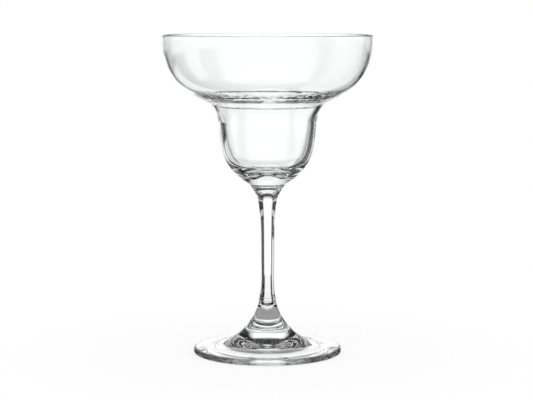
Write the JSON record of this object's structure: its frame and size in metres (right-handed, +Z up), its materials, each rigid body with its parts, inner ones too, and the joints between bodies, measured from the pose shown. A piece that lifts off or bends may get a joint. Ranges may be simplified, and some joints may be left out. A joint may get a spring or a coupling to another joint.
{
  "type": "margarita glass",
  "caption": "Clear stemmed margarita glass: a wide dish over a small rounded cup, on a flared collar, a waisted stem and a round foot.",
  "frame": {"origin": "centre of the flat ring that the foot stands on, at table height, on the axis of the glass", "axes": "+Z up along the axis of the glass, from the foot to the rim; X and Y are equal, because the glass is turned about Z"},
  "size_m": [0.112, 0.112, 0.17],
  "materials": {
    "bowl_glass": "clear, fire-polished",
    "collar_glass": "clear, fire-polished",
    "stem_glass": "clear, drawn, with a smooth skin",
    "foot_glass": "clear, pressed and polished"
  },
  "bodies": {
    "root": {"bowl": "bowl_glass", "collar": "collar_glass", "stem": "stem_glass", "foot": "foot_glass"}
  },
  "joints": []
}
